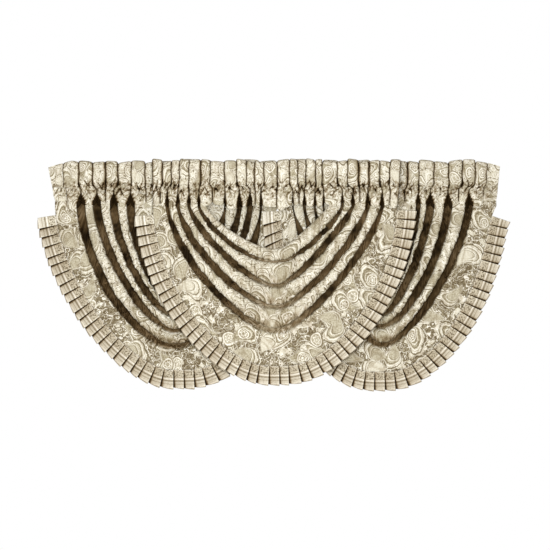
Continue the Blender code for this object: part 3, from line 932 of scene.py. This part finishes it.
def mix(tree, factor, a, b):
    """A blend of two numbers: a + (b - a) * factor."""
    return add(tree, "ShaderNodeMix", {0: factor, 2: a, 3: b}, data_type="FLOAT").outputs[0]


def mix_colour(tree, factor, a, b, blend="MIX"):
    """A blend of two colours, or b multiplied into a."""
    return add(tree, "ShaderNodeMix", {0: factor, 6: a, 7: b}, data_type="RGBA", blend_type=blend).outputs[2]


def colours(tree, value, stops):
    """A colour ramp: stops are (position, linear colour) rows."""
    ramp = add(tree, "ShaderNodeValToRGB", {0: value})
    elements = ramp.color_ramp.elements
    for element, (position, colour) in zip(elements, (stops[0], stops[-1])):
        element.position, element.color = position, (*colour, 1.0)
    for position, colour in stops[1:-1]:
        elements.new(position).color = (*colour, 1.0)
    return ramp.outputs["Color"]


def new_group(name, inputs, outputs):
    """An empty node group with named sockets; inputs and outputs are (name, kind, default) rows."""
    group = bpy.data.node_groups.new(name, "ShaderNodeTree")
    for title, kind, default in inputs:
        socket = group.interface.new_socket(title, in_out="INPUT", socket_type=kind)
        if default is not None:
            socket.default_value = default
    for title, kind in outputs:
        group.interface.new_socket(title, in_out="OUTPUT", socket_type=kind)
    return group, group.nodes.new("NodeGroupInput").outputs, group.nodes.new("NodeGroupOutput").inputs


print("node helpers ready for Blender", bpy.app.version_string)

# %% [markdown]
# ## Weave and fold shade
#
# Two effects belong to both cloths. The weave is a product of two sine waves, warp and weft, roughened by
# noise as slubby yarn is: it moves the bump and tints the colour a little. The shade of a fold is painted
# by `hollow`, because the light of a room reaches a deep fold so weakly, and so brown from cloth to cloth,
# that lamps alone leave it too bright and too grey.


# %% Weave and fold shade
def weave_group():
    """Height is sin(threads x) sin(threads y) times 0.35 plus noise; Tint is 0.83 plus 0.34 of the noise."""
    group, given, out = new_group(
        "weave",
        [("Place", "NodeSocketVector", None), ("Threads", "NodeSocketFloat", 900.0)],
        [("Height", "NodeSocketFloat"), ("Tint", "NodeSocketFloat")],
    )
    warp, weft = (
        calc(group, "SINE", calc(group, "MULTIPLY", xyz(group, given["Place"])[axis], given["Threads"]))
        for axis in "XY"
    )
    slub = noise(group, given["Place"], 220.0, 3.0)
    threads = calc(group, "MULTIPLY", warp, weft)
    group.links.new(calc(group, "MULTIPLY_ADD", threads, 0.35, slub), out["Height"])
    group.links.new(calc(group, "MULTIPLY_ADD", slub, 0.34, 0.83), out["Tint"])
    return group


def shade_group():
    """The colour of cloth down in a fold: it is multiplied by a tint that browns and darkens with `hollow`.

    Only the cloth's front side is shaded, where its normal's Y is below about zero. Seen from behind, a
    fold's floor is the part that stands out.
    """
    group, given, out = new_group(
        "fold_shade",
        [("Colour", "NodeSocketColor", None), ("Strength", "NodeSocketFloat", 1.0)],
        [("Colour", "NodeSocketColor")],
    )
    facing = xyz(group, add(group, "ShaderNodeNewGeometry").outputs["Normal"])["Y"]
    deep = calc(group, "MULTIPLY", attribute(group, "hollow"), given["Strength"])
    deep = calc(group, "MULTIPLY", deep, band(group, facing, 0.25, 0.0))
    tint = colours(group, deep, [
        (0.0, (1.0, 1.0, 1.0)), (0.35, (0.58, 0.52, 0.44)), (0.65, (0.27, 0.205, 0.135)),
        (0.84, (0.155, 0.105, 0.056)), (0.94, (0.060, 0.038, 0.016)), (1.0, (0.018, 0.010, 0.003)),
    ])
    group.links.new(mix_colour(group, 1.0, given["Colour"], tint, "MULTIPLY"), out["Colour"])
    return group


WEAVE, FOLD_SHADE = weave_group(), shade_group()
print("node groups:", [group.name for group in (WEAVE, FOLD_SHADE)])

# %% [markdown]
# ## The jacquard's figures
#
# A jacquard loom lifts every warp thread by itself, so its figures have crisp outlines and fine filling. A
# contour line of a smooth value, drawn where the value is within a little of some level, gives just such an
# outline. Contours of slow noise make scroll lines in the ground. Contours of a round or drop-shaped
# distance, one in each cell of a Voronoi pattern and turned by chance, make the rosettes and the drops.

# %% The ground of the jacquard
# The slow noises whose contours are drawn: scale and detail
FIELDS = {"first": (21.0, 2.0), "second": (33.0, 1.0), "patch": (22.0, 1.0)}
# Contour lines: the noise, its level, half the line's width, its tone, and which of two sets of gaps it has
Contour = namedtuple("Contour", "field level half tone gaps")
CONTOURS = [
    Contour("first", 0.47, 0.014, 0.90, "odd"), Contour("first", 0.53, 0.014, 0.06, "even"),
    Contour("second", 0.50, 0.015, 0.88, "odd"), Contour("second", 0.60, 0.014, 0.06, "odd"),
    Contour("first", 0.62, 0.016, 0.90, "even"), Contour("patch", 0.58, 0.010, 0.04, "odd"),
    Contour("second", 0.44, 0.012, 0.85, "even"), Contour("first", 0.42, 0.012, 0.06, "odd"),
    Contour("second", 0.555, 0.012, 0.90, "even"),
]


def thin_line(tree, value, level, half):
    """1 where `value` is within `half` of `level`, softly 0 elsewhere: a thin contour line."""
    off = calc(tree, "ABSOLUTE", calc(tree, "SUBTRACT", value, level))
    return band(tree, off, half, half * 0.45)


def ground_tone(tree, place, bent, inward, stipple, satin):
    """Stippled ground, darker near the seam, with patches of plain satin and broken contour lines."""
    tone = calc(tree, "ADD", mix(tree, band(tree, inward, 0.09, 0.20), 0.15, 0.61), stipple)
    fields = {name: noise(tree, bent, scale, detail) for name, (scale, detail) in FIELDS.items()}
    tone = mix(tree, band(tree, fields["patch"], 0.605, 0.615), tone, satin)
    # the lines come and go, as worked stitches do
    broken = noise(tree, place, 48.0, 1.0)
    gaps = {"odd": band(tree, broken, 0.44, 0.50), "even": band(tree, broken, 0.56, 0.50)}
    for line in CONTOURS:
        drawn = thin_line(tree, fields[line.field], line.level, line.half)
        tone = mix(tree, calc(tree, "MULTIPLY", drawn, gaps[line.gaps]), tone, line.tone)
    return tone


print("contour lines in the ground:", len(CONTOURS))

# %% Rosettes and drops
# A drop's outlines: distance outside its edge, half the line's width, and tone
Outline = namedtuple("Outline", "level half tone")
OUTLINES = [
    Outline(0.100, 0.026, 0.10), Outline(0.0, 0.070, 0.84), Outline(0.015, 0.018, 0.45),
    Outline(-0.10, 0.022, 0.12), Outline(-0.20, 0.024, 0.78), Outline(-0.25, 0.018, 0.16),
    Outline(0.165, 0.018, 0.80),
]
DROP_EDGE = 0.50  # the distance at which a drop ends
ROSETTE_CHANCE, FLOWERED, PLAIN = 0.86, 0.34, 0.86  # one cell in seven; drops below and above these kinds


def cell_figures(tree, place, count, spread):
    """The 2D Voronoi cells of a layout by chance: each point's place in its cell, and two chance numbers."""
    cells = vector(tree, "SCALE", place, count)
    made = add(
        tree, "ShaderNodeTexVoronoi", {"Vector": cells, "Scale": 1.0, "Randomness": spread},
        voronoi_dimensions="2D", feature="F1",
    )
    chance = add(tree, "ShaderNodeSeparateColor", {0: made.outputs["Color"]})
    return vector(tree, "SUBTRACT", cells, made.outputs["Position"]), chance.outputs[0], chance.outputs[1]


def rosette(tree, local, size):
    """A flower in a ring: petals where the radius is near size * (0.55 + 0.12 cos(7 angle)), ring at size."""
    split = xyz(tree, local)
    angle = calc(tree, "ARCTAN2", split["Y"], split["X"])
    radius = add(tree, "ShaderNodeVectorMath", {0: local}, operation="LENGTH").outputs["Value"]
    radius = calc(tree, "DIVIDE", radius, size)
    wave = calc(tree, "COSINE", calc(tree, "MULTIPLY", angle, 7.0))
    petals = thin_line(tree, calc(tree, "MULTIPLY_ADD", wave, -0.12, radius), 0.55, 0.12)
    ring, heart = thin_line(tree, radius, 1.0, 0.13), band(tree, radius, 0.26, 0.18)
    lines = calc(tree, "MAXIMUM", calc(tree, "MAXIMUM", petals, ring), heart)
    return lines, thin_line(tree, radius, 1.2, 0.10), band(tree, radius, 1.08, 1.0)


def with_rosettes(tree, bent, tone):
    """Rosettes over a tone: inside, rim and lines, in the cells whose chance is above ROSETTE_CHANCE."""
    local, chance, _ = cell_figures(tree, bent, 15.0, 0.75)
    lines, rim, inside = rosette(tree, local, 0.34)
    here = calc(tree, "GREATER_THAN", chance, ROSETTE_CHANCE)
    for part, shade in ((inside, 0.42), (rim, 0.15), (lines, 0.84)):
        tone = mix(tree, calc(tree, "MULTIPLY", part, here), tone, shade)
    return tone


def with_drops(tree, bent, tone, stipple, satin):
    """Drops over a tone, one to a cell, each turned by chance and hatched, flowered or plain satin inside.

    A drop's distance is sqrt((x / (0.52 - 0.66 y)) squared + (1.1 y) squared), with x bent by y squared so
    that its tip curls, and a little scallop of cos(24 angle). Its outlines lie at levels of (distance -
    DROP_EDGE) / (0.62 - 0.42 sin(angle)), so they are fullest round its head and thin at its tip.
    """
    local, chance, kind = cell_figures(tree, bent, 9.4, 0.9)
    turned = add(
        tree, "ShaderNodeVectorRotate", {"Vector": local, "Angle": calc(tree, "MULTIPLY", chance, 6.283)},
        rotation_type="Z_AXIS",
    ).outputs[0]
    split = xyz(tree, turned)
    across, up = split["X"], split["Y"]
    curl = calc(tree, "MULTIPLY_ADD", calc(tree, "MULTIPLY", up, up), 0.9, across)
    narrow = calc(tree, "MAXIMUM", calc(tree, "MULTIPLY_ADD", up, -0.66, 0.52), 0.12)
    wide, tall = calc(tree, "DIVIDE", curl, narrow), calc(tree, "MULTIPLY", up, 1.1)
    squares = calc(tree, "ADD", calc(tree, "MULTIPLY", wide, wide), calc(tree, "MULTIPLY", tall, tall))
    angle = calc(tree, "ARCTAN2", up, across)
    scallop = calc(tree, "COSINE", calc(tree, "MULTIPLY", angle, 24.0))
    distance = calc(tree, "MULTIPLY_ADD", scallop, 0.007, calc(tree, "SQRT", squares))

    slope = calc(tree, "MULTIPLY_ADD", up, 0.5, across)
    hatch = calc(tree, "SINE", calc(tree, "MULTIPLY", slope, 120.0))
    hatched = calc(tree, "MULTIPLY_ADD", hatch, 0.07, calc(tree, "MULTIPLY_ADD", stipple, 0.5, 0.44))
    lines, _, _ = rosette(tree, turned, 0.17)
    flowered = mix(tree, lines, calc(tree, "ADD", stipple, 0.36), 0.9)
    inside = mix(tree, calc(tree, "GREATER_THAN", kind, FLOWERED), flowered, hatched)
    inside = mix(tree, calc(tree, "GREATER_THAN", kind, PLAIN), inside, satin)
    tone = mix(tree, band(tree, distance, DROP_EDGE, DROP_EDGE - 0.03), tone, inside)

    full = calc(tree, "MULTIPLY_ADD", calc(tree, "SINE", angle), -0.42, 0.62)
    outside = calc(tree, "DIVIDE", calc(tree, "SUBTRACT", distance, DROP_EDGE), full)
    for line in OUTLINES:
        tone = mix(tree, thin_line(tree, outside, line.level, line.half), tone, line.tone)
    return tone


def figure_group():
    """Tone of the jacquard from 0, dark taupe, to 1, cream: the ground, then rosettes, then drops.

    The place is bent by slow noise first, so that no two figures are quite alike.
    """
    group, given, out = new_group(
        "jacquard_figures",
        [("Place", "NodeSocketVector", None), ("Inward", "NodeSocketFloat", FAR_FROM_SEAM)],
        [("Tone", "NodeSocketFloat")],
    )
    place = given["Place"]
    slow = add(group, "ShaderNodeTexNoise", {"Vector": place, "Scale": 9.0, "Detail": 2.0}).outputs["Color"]
    bend = vector(group, "SCALE", vector(group, "SUBTRACT", slow, (0.5, 0.5, 0.5)), 0.055)
    bent = vector(group, "ADD", place, bend)
    stipple = calc(group, "MULTIPLY", calc(group, "SUBTRACT", noise(group, place, 175.0, 2.0), 0.5), 1.25)
    satin = calc(group, "MULTIPLY_ADD", stipple, 0.40, 0.65)
    tone = ground_tone(group, place, bent, given["Inward"], stipple, satin)
    tone = with_drops(group, bent, with_rosettes(group, bent, tone), stipple, satin)
    group.links.new(tone, out["Tone"])
    return group


FIGURES = figure_group()
print("figures:", len(FIGURES.nodes), "nodes")

# %% [markdown]
# ## The two cloths
#
# The jacquard's tone is turned into colour by a ramp from dark taupe to cream, and its cream satin is a
# little smoother than its ground. The trim is a cheaper, plainer cloth: stripes woven along the strip, so
# that they lie at set distances from the seam, over a small dotted figure, and a pale line next to the seam
# that is a painted highlight on its turned edge. Both go through the weave and the painted fold shade, and
# have next to no gloss, which is set on the shader's own socket.

# %% Materials
GLOSS = 0.04
FOLD_STRENGTH = 0.99  # how much of the fold shade the cloths take
THREADS = 2100.0  # radians a metre, which is a thread every 3 mm: coarse, so that it shows
JACQUARD_TONES = [
    (0.0, (0.14, 0.105, 0.060)), (0.3, (0.37, 0.330, 0.225)), (0.6, (0.64, 0.610, 0.490)),
    (0.85, (0.87, 0.855, 0.775)), (1.0, (0.97, 0.960, 0.920)),
]
TAUPE, CREAM, DARK = (0.59, 0.555, 0.450), (0.94, 0.920, 0.840), (0.33, 0.285, 0.205)
OUTER, PALE_STRIPE_AND_SEAM_HIGHLIGHT, BROWN = (0.73, 0.700, 0.600), (0.88, 0.855, 0.760), (0.50, 0.455, 0.355)
# The trim's stripes: distance from the seam as a share of the width, and colour. The first pale band, next to
# the seam, is a painted highlight on the seam's turned edge; the other bands are woven stripes.
STRIPES = [
    (0.0, PALE_STRIPE_AND_SEAM_HIGHLIGHT), (0.05, PALE_STRIPE_AND_SEAM_HIGHLIGHT), (0.08, TAUPE), (0.39, TAUPE), (0.41, BROWN), (0.45, BROWN), (0.47, CREAM),
    (0.53, CREAM), (0.55, TAUPE), (0.59, DARK), (0.63, DARK), (0.66, OUTER), (0.74, OUTER), (0.76, BROWN),
    (0.79, BROWN), (0.81, OUTER), (0.90, OUTER), (0.92, PALE_STRIPE_AND_SEAM_HIGHLIGHT), (0.97, PALE_STRIPE_AND_SEAM_HIGHLIGHT), (1.0, BROWN),
]
# The trim's dots: between which values of the noise they come in, and their colour
Dots = namedtuple("Dots", "low high colour")
DOTS = [Dots(0.50, 0.40, (0.17, 0.130, 0.075, 1.0)), Dots(0.52, 0.62, (0.76, 0.715, 0.58, 1.0))]


def new_cloth(name, roughness):
    """A material with its shader's roughness and gloss set; gives its tree, its shader and the UV place."""
    material = bpy.data.materials.new(name)
    material.use_nodes = True
    tree = material.node_tree
    shader = tree.nodes["Principled BSDF"]
    shader.inputs["Roughness"].default_value = roughness
    shader.inputs["Specular IOR Level"].default_value = GLOSS
    return material, tree, shader, add(tree, "ShaderNodeUVMap", uv_map="cloth").outputs["UV"]


def finish_cloth(tree, shader, place, colour, bump):
    """Sends a colour through the weave's tint and the fold shade, and the weave's height to the bump."""
    weave = add(tree, "ShaderNodeGroup", {"Place": place, "Threads": THREADS}, node_tree=WEAVE).outputs
    tinted = mix_colour(tree, 1.0, colour, weave["Tint"], "MULTIPLY")
    shade = add(tree, "ShaderNodeGroup", {"Colour": tinted, "Strength": FOLD_STRENGTH}, node_tree=FOLD_SHADE)
    tree.links.new(shade.outputs["Colour"], shader.inputs["Base Color"])
    bumped = add(tree, "ShaderNodeBump", {"Height": weave["Height"], "Strength": bump, "Distance": 0.0006})
    tree.links.new(bumped.outputs["Normal"], shader.inputs["Normal"])


def jacquard_material():
    """Cream figures on a taupe ground; roughness falls from 0.82 on the ground to 0.55 on the cream."""
    material, tree, shader, place = new_cloth("jacquard_cloth", 0.7)
    given = {"Place": place, "Inward": attribute(tree, "inward")}
    tone = add(tree, "ShaderNodeGroup", given, node_tree=FIGURES).outputs["Tone"]
    finish_cloth(tree, shader, place, colours(tree, tone, JACQUARD_TONES), 0.25)
    tree.links.new(mix(tree, tone, 0.82, 0.55), shader.inputs["Roughness"])
    return material


def trim_material():
    """STRIPES by distance from the seam, with DOTS where noise is high or low, strongest near the seam."""
    material, tree, shader, place = new_cloth("striped_trim_cloth", 0.8)
    out = calc(tree, "MULTIPLY", xyz(tree, place)["Y"], 1.0 / TRIM_WIDTH)
    colour = colours(tree, out, STRIPES)
    specks = noise(tree, place, 170.0, 2.0)
    near = mix(tree, band(tree, out, 0.42, 0.40), 0.25, 1.0)
    for dots in DOTS:
        share = calc(tree, "MULTIPLY", band(tree, specks, dots.low, dots.high), near)
        colour = mix_colour(tree, calc(tree, "MULTIPLY", share, 0.85), colour, dots.colour)
    finish_cloth(tree, shader, place, colour, 0.3)
    return material


JACQUARD, TRIM_CLOTH = jacquard_material(), trim_material()
print("materials:", JACQUARD.name, "and", TRIM_CLOTH.name)

# %% [markdown]
# ## Fitting the cloth to the frame
#
# Each sheet takes the place of its imported solid and rides on the one body, since nothing here moves. A
# panel's cut is roughly a rectangle with rounded lower corners.

Cut = namedtuple("Cut", "width length area")

for swag in SWAGS:
    panel, header, trim = panels[swag.name], headers[swag.name], trims[swag.name]
    for piece, node, material, slot in (
        (panel, f"{swag.name}_swag", JACQUARD, "jacquard"),
        (header, f"{swag.name}_header", JACQUARD, "jacquard"),
        (trim, f"{swag.name}_trim", TRIM_CLOTH, "trim_stripe"),
    ):
        piece.data.materials.append(material)
        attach(piece, "root")
        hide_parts(node)
print("declared", 3 * len(SWAGS), "sheets")

# %% [markdown]
# ## Camera and light
#
# A long lens far in front shows the set straight on, as in the photograph. The light is soft and almost
# straight on too: the main lamp stands near the camera's line, so that the swags behind are as bright as
# the one in front, and a wider, weaker one stands to the left. A third, behind the set, only serves views
# from the back. The backdrop is the plain white sky itself, which is dim and warm to everything but the
# camera.

# %% Camera
PIXEL = 3.8 * MM  # what a pixel of the picture covers
FRAME_SIDE = 550  # pixels
ORIGIN_X, ORIGIN_Y = 275, 158  # the pixel where the set's origin lies
CAMERA_BACK = 14.0
SENSOR = 36.0

camera = bpy.data.objects.new("camera", bpy.data.cameras.new("camera"))
bpy.context.scene.collection.objects.link(camera)
camera.location = ((FRAME_SIDE / 2 - ORIGIN_X) * PIXEL, -CAMERA_BACK, (ORIGIN_Y - FRAME_SIDE / 2) * PIXEL)
camera.rotation_euler = (math.pi / 2, 0.0, 0.0)
camera.data.sensor_width = SENSOR
camera.data.lens = SENSOR * CAMERA_BACK / (FRAME_SIDE * PIXEL)
camera.data.clip_end = 100.0
bpy.context.scene.camera = camera
print("lens:", round(camera.data.lens, 1), "mm at", CAMERA_BACK, "m")

# %% Lamps
AIM = (0.0, 0.0, -0.4)  # the middle of the set
# A lamp: where it stands, its side in metres and its power in watts
Lamp = namedtuple("Lamp", "name place side power")
LAMPS = [
    Lamp("key", (-1.1, -4.5, 0.2), 1.4, 74.0),
    Lamp("front", (0.05, -4.8, -0.3), 0.7, 148.0),
    Lamp("behind", (0.5, 4.6, 0.3), 1.4, 120.0),
]


def soft_lamp(name, place, side, power):
    """A square area lamp at `place` that faces AIM: it is tilted up from straight down, then turned."""
    lamp = bpy.data.lights.new(name, "AREA")
    lamp.shape, lamp.size, lamp.energy = "SQUARE", side, power
    holder = bpy.data.objects.new(name, lamp)
    bpy.context.scene.collection.objects.link(holder)
    holder.location = place
    heading = np.array(AIM) - np.array(place)
    tilt = math.atan2(math.hypot(heading[0], heading[1]), -heading[2])
    holder.rotation_euler = (tilt, 0.0, math.atan2(-heading[0], heading[1]))
    return holder


holders = {lamp.name: soft_lamp(*lamp) for lamp in LAMPS}
holders["behind"].visible_camera = False
print("lamps:", list(holders))

# %% Sky and floor
DIM_SKY, WARM, WHITE = 0.28, (1.0, 0.85, 0.66, 1.0), (1.0, 1.0, 1.0, 1.0)
FLOOR_RADIUS, FLOOR_DROP, FLOOR_SIDES = 2.5, 1.75, 64

world = bpy.data.worlds.new("studio")
bpy.context.scene.world = world
world.use_nodes = True
sky = world.node_tree.nodes["Background"].inputs
seen = add(world.node_tree, "ShaderNodeLightPath").outputs["Is Camera Ray"]
world.node_tree.links.new(mix(world.node_tree, seen, DIM_SKY, 1.0), sky["Strength"])
world.node_tree.links.new(mix_colour(world.node_tree, seen, WARM, WHITE), sky["Color"])
bpy.context.scene.view_settings.view_transform = "Standard"

# a round pale floor well below the set
turn = np.linspace(0.0, 2.0 * math.pi, FLOOR_SIDES, endpoint=False)
round_x, round_y = FLOOR_RADIUS * np.cos(turn), FLOOR_RADIUS * np.sin(turn)
rim = np.stack([round_x, round_y, np.full_like(turn, -FLOOR_DROP)], axis=1)
floor_mesh = bpy.data.meshes.new("floor")
floor_mesh.from_pydata(rim.tolist(), [], [list(range(FLOOR_SIDES))])
floor = bpy.data.objects.new("floor", floor_mesh)
bpy.context.scene.collection.objects.link(floor)
pale = bpy.data.materials.new("pale_floor")
pale.use_nodes = True
pale.node_tree.nodes["Principled BSDF"].inputs["Base Color"].default_value = (0.82, 0.81, 0.79, 1.0)
pale.node_tree.nodes["Principled BSDF"].inputs["Roughness"].default_value = 0.9
floor_mesh.materials.append(pale)
print("floor:", FLOOR_DROP, "m below the top edge")
